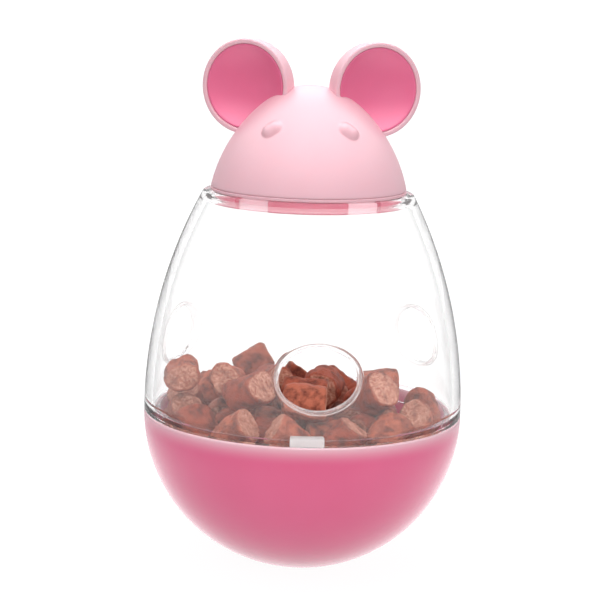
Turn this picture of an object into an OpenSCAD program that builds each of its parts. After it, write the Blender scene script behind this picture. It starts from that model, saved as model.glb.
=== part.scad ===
// Treat dispensing mouse toy: a weighted egg that rocks on its round bowl and
// lets treats out through three ports in its clear shell. The mouse's head is
// the plug that closes the filling neck. It faces -Y and stands on z = 0.

/* [Belly] */
// Radius of the egg at the seam between bowl and shell
belly_r = 36; // [34:0.5:42]
// Radius of the small flat foot under the bowl
foot_r = 6; // [3:0.5:9]
// Wall of the bowl
bowl_wall = 2; // [1.4:0.1:2.6]
// Depth of the false floor's top face below the seam
floor_drop = 6; // [5:0.5:9]
// Thickness of the false floor
floor_t = 1.6; // [1.2:0.1:2.4]
// Width of the shelf that carries the false floor
shelf_w = 3; // [2:0.1:5]
// Thickness of that shelf
shelf_t = 1.5; // [1:0.1:3]
// Height of the snap clips over the false floor's edge
clip_h = 1.2; // [0.8:0.1:1.5]
// How far a snap clip reaches over the false floor's edge
clip_reach = 0.7; // [0.4:0.1:1]
// Part of the circle that one snap clip takes, in degrees
clip_angle = 14; // [8:1:24]

/* [Counterweight] */
// Height of the cast counterweight in the bottom of the bowl
ballast_h = 10; // [6:0.5:14]
// Outer radius of the tube that holds the counterweight down
post_r = 5; // [4:0.5:8]
// Wall of that tube
post_wall = 1.6; // [1.2:0.1:2.4]

/* [Clear shell] */
// Radius of the arc that the shell's flank follows
flank_r = 106; // [96:1:130]
// Height of the shell above the seam
shell_h = 50; // [44:0.5:56]
// Wall of the shell
shell_wall = 2; // [1.4:0.1:2.4]
// Wall of the lip that drops inside the bowl
lip_wall = 1.4; // [1:0.1:1.8]
// Depth of that lip below the seam
lip_h = 3; // [2:0.25:4]
// Height of the ledge that joins the lip to the wall
ledge_h = 1; // [0.8:0.1:1.5]
// Width of the locating key on the ledge, at the front
key_w = 7.5; // [5:0.5:12]
// Height of the locating key
key_h = 2.3; // [1.6:0.1:4]
// Turn of the key from the face's centre line, in degrees
key_turn = 2; // [-10:1:10]
// Height of the straight land inside the top of the neck
neck_bore_h = 1.5; // [1:0.1:4]
// How far that land stands in from the shell's inner face
neck_bore_in = 0.1; // [0.1:0.05:0.6]

/* [Ports] */
// Number of treat ports round the shell
port_count = 3; // [2:1:4]
// Angle from the face's centre line to the nearest port
port_turn = 5.5; // [-30:0.5:30]
// Height of the ports' centres above the seam
port_up = 14.3; // [12:0.1:22]
// Clear width of a port
port_w = 16.8; // [12:0.1:20]
// Clear height of a port
port_h = 13.2; // [10:0.1:15]
// Radius of a port's round ends
port_end_r = 5.6; // [4.6:0.1:5.8]
// Width of the bead round a port
bead_w = 1.1; // [0.8:0.1:2]
// How far the bead stands proud of the shell, outside and inside
bead_out = 0.6; // [0.3:0.1:1]

/* [Plug ring] */
// Depth of the plug inside the neck
plug_depth = 2.8; // [2:0.1:3.4]
// Wall of the plug's skirt
skirt_wall = 2.2; // [2:0.1:3]
// Wall of the spigot that the head turns on
spigot_wall = 1.4; // [1.2:0.1:2]
// Number of grip tabs on the skirt
tab_count = 5; // [3:1:8]
// Part of the circle that one tab takes, in degrees
tab_angle = 48; // [20:1:70]
// How far a tab stands out from the skirt
tab_out = 1; // [0.6:0.1:1.4]
// Rounding of a tab's lower edge
tab_round = 0.6; // [0.3:0.1:0.9]
// Thickness of the flange between the neck and the head
flange_t = 0.5; // [0.4:0.1:1]
// Height of the turning seat inside the head
seat_h = 2.2; // [1.6:0.1:3]
// How far the snap bead stands out from the spigot
snap_out = 0.6; // [0.5:0.05:0.8]
// Height of the snap bead
snap_h = 1; // [0.8:0.1:1.6]

/* [Head] */
// How far the head's brim stands in from the top of the neck
brim_in = 1.57; // [1:0.01:2.4]
// Angle that the head's flank leans inwards at the brim
brim_lean = 12; // [8:0.5:16]
// Radius of the arc that the head's flank follows
head_flank_r = 33.5; // [30:0.5:38]
// Radius of the rounded crown
crown_r = 15.6; // [13:0.1:18]
// Wall of the head
head_wall = 2; // [1.4:0.1:2.4]
// Height of the eyes above the brim, as a part of the head's height
eye_level = 0.61; // [0.5:0.01:0.72]
// Angle from the face's centre line to an eye
eye_turn = 33; // [24:1:45]
// Length of an eye bump
eye_l = 5.6; // [4.8:0.1:6.4]
// Width of an eye bump
eye_w = 4.4; // [3:0.1:5]
// How far an eye stands out from the head
eye_proud = 1.1; // [0.5:0.1:1.3]
// How far the outer end of an eye is turned down, in degrees
eye_droop = 45; // [0:1:60]

/* [Ears] */
// Radius of an ear
ear_r = 10.5; // [8:0.1:12]
// Thickness of an ear from rim to back
ear_t = 6; // [5.4:0.1:8]
// Rounding of an ear's back edge
ear_back_round = 3; // [2:0.1:3.6]
// Rounding of an ear's rim
ear_rim_round = 0.7; // [0.4:0.05:0.9]
// Angle from the top of the crown to an ear's centre
ear_angle = 45; // [38:0.5:50]
// Distance from the crown's surface out to an ear's centre
ear_off = 5.5; // [5:0.05:7]
// How far the ears' rims stand in front of the middle of the head
ear_front = 1; // [0:0.1:3]
// Angle that an ear is turned outwards
ear_splay = 24; // [0:1:35]
// Radius of the dished liner in an ear
liner_r = 9.3; // [7:0.1:9.6]
// Depth of the dish
dish_depth = 3.4; // [2:0.1:3.6]
// Thickness of the liner
liner_t = 0.9; // [0.6:0.1:1.2]
// Width of the tongue that fixes an ear in the head
tongue_w = 6.5; // [4:0.1:8]
// Thickness of that tongue
tongue_t = 1.5; // [1:0.1:1.6]
// How far the tongue leans in from upright, in degrees
tongue_lean = 38; // [30:1:46]
// Length of the tongue inside the ear and the head, from the ear's centre
tongue_l = 11; // [9.5:0.1:12]

/* [Treats] */
// Diameter of a treat
treat_d = 7.6; // [7:0.1:7.8]
// Length of a treat
treat_l = 9; // [8.2:0.1:9.2]
// Bevel on a treat's ends
treat_bevel = 0.7; // [0.5:0.1:1.2]
// Direction of the bare patch at the wall, in degrees
bare_turn = 24; // [16:1:30]
// Part of the wall that stays bare, in degrees
bare_angle = 25; // [0:5:60]
// Number of the treat at the wall that carries one more
top_on = 6; // [4:1:8]

/* [Fits] */
// Clearance where one piece drops into another
fit = 0.2; // [0.1:0.05:0.3]
// Clearance where flat faces meet
face_gap = 0.1; // [0.05:0.01:0.15]
// Clearance of the head's turning seat
turn_gap = 0.2; // [0.15:0.05:0.3]
// Space between loose treats
treat_gap = 0.35; // [0.2:0.05:0.5]

/* [Hidden] */
$fn = 120;
fine_fn = 720;

deep_pink = [0.86, 0.42, 0.57];
light_pink = [0.97, 0.80, 0.85];
clear_tint = [0.93, 0.95, 0.96, 0.35];
steel_grey = [0.55, 0.56, 0.58];
treat_brown = [0.52, 0.27, 0.20];

LEFT = -1;
RIGHT = 1;

seam_z = sqrt(belly_r^2 - foot_r^2);
bowl_in_r = belly_r - bowl_wall;
floor_z = seam_z - floor_drop;
shelf_z = floor_z - floor_t - face_gap;
clip_count = 3;

// Inner radius of the bowl at a given height
function bowl_reach(z) = sqrt(bowl_in_r^2 - (seam_z - z)^2);

floor_r = bowl_reach(floor_z - floor_t) - fit;
ballast_z = seam_z - bowl_in_r + ballast_h;

flank_x = belly_r - flank_r;
neck_z = seam_z + shell_h;

// Radius of the flank's arc at a given height above the seam
function flank_reach(up, grow) = flank_x + sqrt((flank_r + grow)^2 - up^2);

// Centres and radius of a port's arcs, and where the end arcs meet the flatter ones
port_end_x = port_w / 2 - port_end_r;
port_flat_y = (port_end_x^2 - (port_h / 2 - port_end_r)^2) / (port_h - 2 * port_end_r);
port_flat_r = port_h / 2 + port_flat_y;
port_join_x = port_end_x * port_flat_r / (port_flat_r - port_end_r);

lip_out_r = bowl_reach(seam_z - lip_h) - fit;
lip_in_r = lip_out_r - lip_wall;
neck_bore_r = flank_reach(shell_h, -shell_wall) - neck_bore_in;

brim_r = flank_reach(shell_h, 0) - brim_in;

tab_r = neck_bore_r - fit;
skirt_r = tab_r - tab_out;
skirt_in_r = skirt_r - skirt_wall;
flange_z = neck_z + face_gap;
brim_z = flange_z + flange_t + turn_gap;
snap_z = brim_z + seat_h + turn_gap;

// Centres of the head's two arcs: the flank starts at the brim, the crown meets it smoothly
head_arc_x = brim_r - head_flank_r * cos(brim_lean);
head_arc_z = brim_z - head_flank_r * sin(brim_lean);
crown_z = head_arc_z + sqrt((head_flank_r - crown_r)^2 - head_arc_x^2);
crown_dir = [-head_arc_x, crown_z - head_arc_z] / (head_flank_r - crown_r);

// Radius of the head's inner wall at a given height
function head_inside(z) = head_arc_x + sqrt((head_flank_r - head_wall)^2 - (z - head_arc_z)^2);

snap_r = head_inside(snap_z + snap_h) - turn_gap;
spigot_r = snap_r - snap_out;
spigot_in_r = spigot_r - spigot_wall;
seat_in_r = spigot_r + turn_gap;

eye_up = eye_level * (crown_z + crown_r - brim_z);

ear_x = (crown_r + ear_off) * sin(ear_angle);
ear_z = crown_z + (crown_r + ear_off) * cos(ear_angle);
dish_r = (liner_r^2 + dish_depth^2) / (2 * dish_depth);
tongue_back = dish_depth + liner_t + fit + tongue_t / 2;

treat_room_r = lip_in_r - treat_gap;

// Treats along the wall, in turn: tilt from upright and turn from outwards, in degrees
wall_treats = [[42, 80], [56, 100], [38, -82], [50, 98], [46, -78]];

// Treats of the upper layer: places as parts of the wall row's radius, turn and tilt in degrees
upper_treats = [
    [-0.41, 0.48, 12, 62],
    [-0.63, -0.07, 265, 74],
    [-0.41, -0.48, 318, 64],
    [0.02, -0.63, 350, 90],
    [0.57, -0.46, 300, 60],
    [0.62, 0.07, 20, 90],
    [-0.25, 0.08, 285, 84],
    [0.18, 0.02, 80, 90],
    [0.03, -0.32, 165, 90]
];

// Half of what a tilted treat measures upwards, and half of what it measures outwards
function treat_rise(tilt) = max(
    treat_l / 2 * cos(tilt) + (treat_d / 2 - treat_bevel) * sin(tilt),
    (treat_l / 2 - treat_bevel) * cos(tilt) + treat_d / 2 * sin(tilt)
);
function treat_reach(tilt) = treat_rise(90 - tilt);

// Everything on the axis side of the flank's arc, grown outwards
module flank_region(grow = 0) {
    translate([flank_x, seam_z])
        circle(flank_r + grow, $fn = fine_fn);
}

module bowl_profile() {
    intersection() {
        square([belly_r + 1, seam_z]);
        union() {
            difference() {
                translate([0, seam_z])
                    circle(belly_r, $fn = fine_fn);
                translate([0, seam_z])
                    circle(bowl_in_r, $fn = fine_fn);
            }
            intersection() {
                translate([0, seam_z])
                    circle(belly_r - bowl_wall / 2, $fn = fine_fn);
                translate([floor_r - shelf_w, shelf_z - shelf_t])
                    square([belly_r, shelf_t]);
            }
        }
    }
}

module clip_profile() {
    intersection() {
        translate([0, seam_z])
            circle(belly_r - bowl_wall / 2, $fn = fine_fn);
        translate([floor_r - clip_reach, floor_z + face_gap])
            square([belly_r, clip_h]);
    }
}

// Weighted bowl that the toy rocks on, with a shelf and clips for the false floor
module bowl() {
    color(deep_pink) {
        rotate_extrude()
            bowl_profile();
        for (i = [0 : clip_count - 1])
            rotate(i * 360 / clip_count)
                rotate_extrude(angle = clip_angle)
                    clip_profile();
    }
}

// Cast cap that lies in the bottom of the bowl and brings the toy upright
module counterweight() {
    color(steel_grey)
        rotate_extrude()
            intersection() {
                translate([0, seam_z])
                    circle(bowl_in_r - fit, $fn = fine_fn);
                square([belly_r, ballast_z]);
            }
}

// False floor under the treats, with the tube that holds the counterweight down
module false_floor() {
    color(deep_pink)
        difference() {
            union() {
                translate([0, 0, floor_z - floor_t])
                    cylinder(h = floor_t, r = floor_r);
                translate([0, 0, ballast_z + face_gap])
                    cylinder(h = floor_z - floor_t / 2 - ballast_z - face_gap, r = post_r);
            }
            translate([0, 0, ballast_z])
                cylinder(h = floor_z - floor_t - ballast_z, r = post_r - post_wall);
        }
}

// One cut stick of treat along Z, centred
module treat() {
    rotate_extrude()
        polygon([
            [0, -treat_l / 2],
            [treat_d / 2 - treat_bevel, -treat_l / 2],
            [treat_d / 2, -treat_l / 2 + treat_bevel],
            [treat_d / 2, treat_l / 2 - treat_bevel],
            [treat_d / 2 - treat_bevel, treat_l / 2],
            [0, treat_l / 2]
        ]);
}

// A treat whose lowest point is at z: upright at no tilt and lying at 90 degrees
module placed_treat(place, z, turn, tilt) {
    translate([place.x, place.y, z + treat_rise(tilt)])
        rotate([0, tilt, turn])
            treat();
}

// Loose treats: a row leans along the wall, and rings lie inside it under an upper layer
module treats() {
    lower_z = floor_z + face_gap;
    upper_z = lower_z + treat_d + face_gap;
    wall_reach = max([for (lean = wall_treats) treat_reach(lean[0])]);
    wall_ring = sqrt(treat_room_r^2 - wall_reach^2) - treat_d / 2;
    wall_step = 2 * atan((wall_reach + treat_gap / 2) / wall_ring);
    wall_count = floor((360 - bare_angle) / wall_step);
    function wall_turn(i) = bare_turn + bare_angle / 2 + (i + 0.5) * (360 - bare_angle) / wall_count;
    function wall_spot(i) = wall_ring * [cos(wall_turn(i)), sin(wall_turn(i))];
    function wall_lean(i) = wall_treats[i % len(wall_treats)];
    ring_step = treat_d + treat_gap;
    function ring_count(r) = floor(180 / atan((treat_l + treat_gap) / (2 * r - treat_d)));
    color(treat_brown) {
        for (i = [0 : wall_count - 1])
            placed_treat(wall_spot(i), lower_z, wall_turn(i) + wall_lean(i)[1], wall_lean(i)[0]);
        placed_treat([0, 0], lower_z, 0, 90);
        for (r = [wall_ring - wall_reach - treat_d / 2 : -ring_step : treat_l])
            for (i = [0 : ring_count(r) - 1]) {
                turn = i * 360 / ring_count(r);
                placed_treat(r * [cos(turn), sin(turn)], lower_z, turn + 90, 90);
            }
        for (spot = upper_treats)
            placed_treat(wall_ring * [spot[0], spot[1]], upper_z, spot[2], spot[3]);
        placed_treat(wall_spot(top_on), lower_z + 2 * treat_rise(wall_lean(top_on)[0]) + face_gap,
            wall_turn(top_on) + 90, 90);
    }
}

module shell_profile() {
    intersection() {
        flank_region();
        union() {
            difference() {
                translate([0, seam_z + face_gap])
                    square([belly_r + 1, shell_h - face_gap]);
                flank_region(-shell_wall);
            }
            translate([lip_in_r, seam_z + face_gap])
                square([belly_r - lip_in_r, ledge_h - face_gap]);
            translate([neck_bore_r, neck_z - neck_bore_h])
                square([belly_r, neck_bore_h]);
        }
    }
    translate([lip_in_r, seam_z - lip_h])
        square([lip_wall, lip_h + ledge_h]);
}

// Oval of a port, grown by a margin: two end arcs that run smoothly into two flatter ones
module port_oval(margin) {
    join_x = port_join_x + margin * port_join_x / port_flat_r;
    intersection() {
        translate([0, port_flat_y])
            circle(port_flat_r + margin, $fn = fine_fn);
        translate([0, -port_flat_y])
            circle(port_flat_r + margin, $fn = fine_fn);
        square([2 * join_x, 2 * port_h], center = true);
    }
    for (side = [-1, 1])
        translate([side * port_end_x, 0])
            circle(port_end_r + margin);
}

// A port's outline run outwards through the shell, grown by a margin
module port_prism(margin) {
    translate([0, 0, seam_z + port_up])
        rotate([90, 0, 0])
            linear_extrude(belly_r + 2 * bead_out)
                port_oval(margin);
}

// The shell's wall thickened by the ports' beads
module bead_band() {
    rotate_extrude()
        intersection() {
            difference() {
                flank_region(bead_out);
                flank_region(-shell_wall - bead_out);
            }
            translate([0, seam_z])
                square([belly_r + 1, shell_h]);
        }
}

// Clear egg shell with its ports, filling neck, lip and locating key
module clear_shell() {
    key_angle = 2 * asin(key_w / (2 * belly_r));
    color(clear_tint)
        difference() {
            union() {
                rotate_extrude()
                    shell_profile();
                intersection() {
                    bead_band();
                    for (i = [0 : port_count - 1])
                        rotate(port_turn + i * 360 / port_count)
                            port_prism(bead_w);
                }
                rotate(key_turn - 90 - key_angle / 2)
                    rotate_extrude(angle = key_angle)
                        translate([lip_in_r + fit, seam_z + ledge_h / 2])
                            square([lip_wall + shell_wall / 2, key_h - ledge_h / 2]);
            }
            for (i = [0 : port_count - 1])
                rotate(port_turn + i * 360 / port_count)
                    port_prism(0);
        }
}

module plug_profile() {
    translate([skirt_in_r, neck_z - plug_depth])
        square([skirt_wall, plug_depth + face_gap + flange_t]);
    translate([spigot_in_r, flange_z])
        square([brim_r - spigot_in_r, flange_t]);
    translate([spigot_in_r, flange_z])
        square([spigot_wall, snap_z + snap_h - flange_z]);
    translate([spigot_in_r, snap_z])
        square([snap_r - spigot_in_r, snap_h]);
}

module tab_profile() {
    tab_top = neck_z - face_gap;
    translate([skirt_r - skirt_wall / 2, neck_z - plug_depth])
        square([tab_out + skirt_wall / 2 - tab_round, tab_top - neck_z + plug_depth]);
    translate([tab_r - 2 * tab_round, neck_z - plug_depth + tab_round])
        square([2 * tab_round, tab_top - neck_z + plug_depth - tab_round]);
    translate([tab_r - tab_round, neck_z - plug_depth + tab_round])
        circle(tab_round);
}

// Ring that plugs the neck: its tabs grip the bore, and the head turns on its spigot
module plug_ring() {
    color(deep_pink) {
        rotate_extrude()
            plug_profile();
        for (i = [0 : tab_count - 1])
            rotate(-90 - tab_angle / 2 + i * 360 / tab_count)
                rotate_extrude(angle = tab_angle)
                    tab_profile();
    }
}

// Half outline of the head above its brim, with both arcs drawn in by an inset
module head_profile(inset = 0) {
    span = 2 * head_flank_r;
    intersection() {
        translate([0, brim_z])
            square(span);
        union() {
            translate([0, crown_z])
                circle(crown_r - inset, $fn = fine_fn);
            intersection() {
                translate([head_arc_x, head_arc_z])
                    circle(head_flank_r - inset, $fn = fine_fn);
                polygon([
                    [0, crown_z],
                    [0, crown_z] + span * crown_dir,
                    [span, brim_z - span],
                    [0, brim_z - span]
                ]);
            }
        }
    }
}

// Long round bump that lies along the head's flank and sinks into it
module eye(side) {
    slope = asin((brim_z + eye_up - head_arc_z) / head_flank_r);
    sink = eye_w / 2 - eye_proud;
    rotate(side * eye_turn)
        translate([0, -head_arc_x, head_arc_z])
            rotate([-slope, 0, 0])
                translate([0, sink - head_flank_r, 0])
                    rotate([0, side * eye_droop, 0])
                        rotate([0, 90, 0]) {
                            cylinder(h = eye_l - eye_w, d = eye_w, center = true);
                            for (end = [-1, 1])
                                translate([0, 0, end * (eye_l - eye_w) / 2])
                                    sphere(d = eye_w);
                        }
}

// Tongue that runs from an ear down through the head's wall, grown by a margin
module tongue(side, margin = 0) {
    at_ear(side)
        rotate([0, 0, -side * tongue_lean])
            translate([0, -tongue_l / 2, -tongue_back])
                cube([tongue_w + 2 * margin, tongue_l, tongue_t + 2 * margin], center = true);
}

// Hollow mouse head with its moulded eyes, a seat that turns on the plug ring and ear slots
module head_dome() {
    color(light_pink)
        difference() {
            union() {
                rotate_extrude() {
                    difference() {
                        head_profile();
                        head_profile(head_wall);
                    }
                    intersection() {
                        head_profile(head_wall / 2);
                        translate([seat_in_r, brim_z])
                            square([brim_r, seat_h]);
                    }
                }
                difference() {
                    for (side = [LEFT, RIGHT])
                        eye(side);
                    rotate_extrude()
                        head_profile(head_wall / 2);
                }
            }
            for (side = [LEFT, RIGHT])
                tongue(side, fit);
        }
}

// Places an ear drawn about Z, rim upwards, on its side of the head
module at_ear(side) {
    translate([side * ear_x, -ear_front, ear_z])
        rotate([0, 0, side * ear_splay])
            rotate([90, 0, 0])
                children();
}

module ear_profile() {
    translate([0, -ear_t])
        square([ear_r - ear_back_round, ear_t - ear_rim_round]);
    translate([0, -ear_t + ear_back_round])
        square([ear_r, ear_t - ear_back_round - ear_rim_round]);
    translate([ear_r - ear_back_round, -ear_t + ear_back_round])
        circle(ear_back_round);
    translate([0, -2 * ear_rim_round])
        square([ear_r - ear_rim_round, 2 * ear_rim_round]);
    translate([ear_r - ear_rim_round, -ear_rim_round])
        circle(ear_rim_round);
}

// Everything in front of the dish out to its edge, deepened and widened by margins
module dish_region(deepen = 0, widen = 0) {
    intersection() {
        translate([0, dish_r - dish_depth])
            circle(dish_r + deepen, $fn = fine_fn);
        translate([0, -ear_t])
            square([liner_r + widen, 2 * ear_t]);
    }
}

// Round dished ear, cut to the head's surface and fixed by its tongue
module ear(side) {
    color(light_pink)
        union() {
            difference() {
                at_ear(side)
                    rotate_extrude()
                        difference() {
                            intersection() {
                                ear_profile();
                                translate([0, -ear_t])
                                    square([ear_r, ear_t]);
                            }
                            dish_region(liner_t + face_gap, face_gap);
                        }
                rotate_extrude()
                    head_profile(-face_gap);
            }
            tongue(side);
        }
}

// Thin dished liner that lies in an ear
module ear_liner(side) {
    color(deep_pink)
        difference() {
            at_ear(side)
                rotate_extrude()
                    intersection() {
                        difference() {
                            dish_region(liner_t);
                            dish_region();
                        }
                        translate([0, -ear_t])
                            square([ear_r, ear_t - ear_rim_round]);
                    }
            rotate_extrude()
                head_profile(-face_gap);
        }
}

module ear_left() { ear(LEFT); }
module ear_right() { ear(RIGHT); }
module ear_liner_left() { ear_liner(LEFT); }
module ear_liner_right() { ear_liner(RIGHT); }

bowl();
counterweight();
false_floor();
treats();
clear_shell();
plug_ring();
head_dome();
ear_left();
ear_right();
ear_liner_left();
ear_liner_right();
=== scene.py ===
"""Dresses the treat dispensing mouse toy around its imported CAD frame.

The toy is a weighted pink bowl, a clear egg shell with three ports, a pink
plug ring and a mouse's head with two ears. Sizes are in millimetres until a
mesh is finished, and the frame gives the heights and radii that pieces share.
"""

from __future__ import annotations

import logging
import math
import random
from dataclasses import dataclass, field
from enum import Enum
from typing import Iterable, Sequence

import bmesh
import bpy
from mathutils import Matrix, Vector, noise

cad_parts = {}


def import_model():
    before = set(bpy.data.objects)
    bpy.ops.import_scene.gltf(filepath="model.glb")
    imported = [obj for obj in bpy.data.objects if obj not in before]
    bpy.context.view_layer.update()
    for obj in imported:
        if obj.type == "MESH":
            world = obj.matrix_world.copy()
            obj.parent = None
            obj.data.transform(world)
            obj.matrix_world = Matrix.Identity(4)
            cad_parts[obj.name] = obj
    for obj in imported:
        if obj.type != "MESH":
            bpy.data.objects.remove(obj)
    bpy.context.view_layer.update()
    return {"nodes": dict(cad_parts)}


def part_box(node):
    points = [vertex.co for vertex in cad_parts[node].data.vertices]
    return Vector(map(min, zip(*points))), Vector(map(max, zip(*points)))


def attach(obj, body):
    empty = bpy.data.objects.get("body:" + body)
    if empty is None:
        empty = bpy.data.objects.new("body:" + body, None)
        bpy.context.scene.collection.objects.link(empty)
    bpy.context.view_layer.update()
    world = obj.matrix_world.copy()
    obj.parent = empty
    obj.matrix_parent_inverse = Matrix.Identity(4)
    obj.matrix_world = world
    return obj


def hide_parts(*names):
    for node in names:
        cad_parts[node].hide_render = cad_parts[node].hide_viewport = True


LOG = logging.getLogger("mouse_toy")

MM = 0.001
MERGE_DISTANCE = 1e-4
SHARP_ANGLE = math.radians(42)
FILLET_STEPS = 4
FILLET_SHARE = 0.42
SUPPORT_AT = 1.5
SUPPORT_ROOM = 2.6

Rgb = tuple[int, int, int]
Span = tuple[float, float]
Socket = bpy.types.NodeSocket
Feed = Socket | float | tuple[float, ...]

WHOLE: Span = (0.0, 1.0)


class Side(Enum):
    """The two sides of the mouse, as the sign of X."""

    LEFT = -1
    RIGHT = 1


class Wall(Enum):
    """The two faces of the clear shell's wall."""

    OUTER = 1
    INNER = -1


def linear(colour: Rgb) -> tuple[float, float, float, float]:
    """Turns a display colour into the linear one that a shader takes.

    Args:
        colour: red, green and blue from 0 to 255.

    Returns:
        Linear red, green and blue, and an alpha of 1.
    """
    shares = [value / 255 for value in colour]
    out = [s / 12.92 if s <= 0.04045 else ((s + 0.055) / 1.055) ** 2.4 for s in shares]
    return out[0], out[1], out[2], 1.0


@dataclass
class Outline:
    """Half section of a turned piece: points of radius and height, with fillets."""

    corners: list[tuple[Vector, float]] = field(default_factory=list)

    def corner(self, radius: float, height: float, fillet: float = 0.0) -> Outline:
        """Adds a point, rounded by a fillet, and returns the outline."""
        self.corners.append((Vector((radius, height)), fillet))
        return self

    def arc(
        self,
        centre: tuple[float, float],
        radius: float,
        start: float,
        end: float,
        steps: int,
    ) -> Outline:
        """Adds an arc.

        Args:
            centre: radius and height of the arc's centre.
            radius: radius of the arc.
            start: angle of its first point in degrees, from the outward direction.
            end: angle of its last point.
            steps: number of chords.

        Returns:
            The outline.
        """
        for i in range(steps + 1):
            angle = math.radians(start + (end - start) * i / steps)
            self.corner(
                centre[0] + radius * math.cos(angle),
                centre[1] + radius * math.sin(angle),
            )
        return self

    def rounded(self) -> list[Vector]:
        """Works out the fillets.

        Returns:
            The points in order, with each fillet as a short curve between two support points.
        """
        points: list[Vector] = []
        count = len(self.corners)
        for i, (point, fillet) in enumerate(self.corners):
            if fillet <= 0:
                points.append(point)
                continue
            before = self.corners[i - 1][0] - point
            after = self.corners[(i + 1) % count][0] - point
            reach = min(fillet, FILLET_SHARE * before.length, FILLET_SHARE * after.length)
            first = point + before.normalized() * reach
            last = point + after.normalized() * reach
            if before.length > SUPPORT_ROOM * reach:
                points.append(point + before.normalized() * reach * SUPPORT_AT)
            for step in range(FILLET_STEPS + 1):
                t = step / FILLET_STEPS
                points.append(first * (1 - t) ** 2 + point * 2 * t * (1 - t) + last * t**2)
            if after.length > SUPPORT_ROOM * reach:
                points.append(point + after.normalized() * reach * SUPPORT_AT)
        return points


def revolve(
    bm: bmesh.types.BMesh,
    outline: Outline,
    steps: int,
    ring: bool,
    start: float = 0.0,
    sweep: float = 360.0,
    material: int = 0,
) -> None:
    """Spins an outline round the Z axis.

    Args:
        bm: the mesh that takes the new faces.
        outline: the half section.
        steps: number of steps round the axis.
        ring: True if the outline is a closed loop, False if it starts and ends on the axis.
        start: angle of the first section in degrees.
        sweep: angle that the section sweeps, where 360 closes it on itself.
        material: index of the new faces' material.
    """
    old_faces = set(bm.faces)
    turn = Matrix.Rotation(math.radians(start), 3, "Z")
    verts = [bm.verts.new(turn @ Vector((p.x, 0, p.y))) for p in outline.rounded()]
    followers = verts[1:] + verts[:1] if ring else verts[1:]
    edges = [bm.edges.new(pair) for pair in zip(verts, followers)]
    full = sweep >= 360
    bmesh.ops.spin(
        bm,
        geom=verts + edges,
        cent=(0, 0, 0),
        axis=(0, 0, 1),
        angle=math.radians(sweep),
        steps=steps,
        use_merge=full,
    )
    if not full:
        open_edges = [e for e in bm.edges if e.is_boundary]
        bmesh.ops.holes_fill(bm, edges=open_edges, sides=0)
    bmesh.ops.remove_doubles(bm, verts=bm.verts, dist=MERGE_DISTANCE)
    for face in bm.faces:
        if face not in old_faces:
            face.material_index = material


def publish(
    bm: bmesh.types.BMesh,
    name: str,
    materials: Sequence[bpy.types.Material],
    sharp_angle: float = SHARP_ANGLE,
) -> bpy.types.Object:
    """Finishes a mesh in metres and makes its object, at the origin.

    Args:
        bm: the mesh in millimetres, which is freed.
        name: the object's name.
        materials: the materials, in the order of the faces' indices.
        sharp_angle: the angle past which an edge is shaded sharp.

    Returns:
        The new object.
    """
    bmesh.ops.recalc_face_normals(bm, faces=bm.faces)
    bmesh.ops.scale(bm, vec=(MM, MM, MM), verts=bm.verts)
    for face in bm.faces:
        face.smooth = True
    mesh = bpy.data.meshes.new(name)
    bm.to_mesh(mesh)
    bm.free()
    mesh.set_sharp_from_angle(angle=sharp_angle)
    for material in materials:
        mesh.materials.append(material)
    piece = bpy.data.objects.new(name, mesh)
    bpy.context.scene.collection.objects.link(piece)
    return piece


def seat(piece: bpy.types.Object, body: str, slot: str, *nodes: str) -> None:
    """Puts a finished piece on its body, in place of CAD nodes.

    Args:
        piece: the finished piece.
        body: the body that it moves with.
        slot: the name of a material slot; not used.
        nodes: the CAD nodes that it stands for.
    """
    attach(piece, body)
    if nodes:
        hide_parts(*nodes)
    LOG.info("%s rides on %s with %d faces", piece.name, body, len(piece.data.polygons))


def trim(piece: bpy.types.Object, cutter: bpy.types.Object) -> None:
    """Cuts a closed shape away from a piece and keeps the result in its mesh.

    Args:
        piece: the piece to cut.
        cutter: the closed shape, which stays as it is.
    """
    cut = piece.modifiers.new("trim", "BOOLEAN")
    cut.operation = "DIFFERENCE"
    cut.solver = "EXACT"
    cut.object = cutter
    depsgraph = bpy.context.evaluated_depsgraph_get()
    mesh = bpy.data.meshes.new_from_object(piece.evaluated_get(depsgraph))
    piece.modifiers.clear()
    whole = piece.data
    mesh.name = whole.name
    piece.data = mesh
    bpy.data.meshes.remove(whole)


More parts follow.
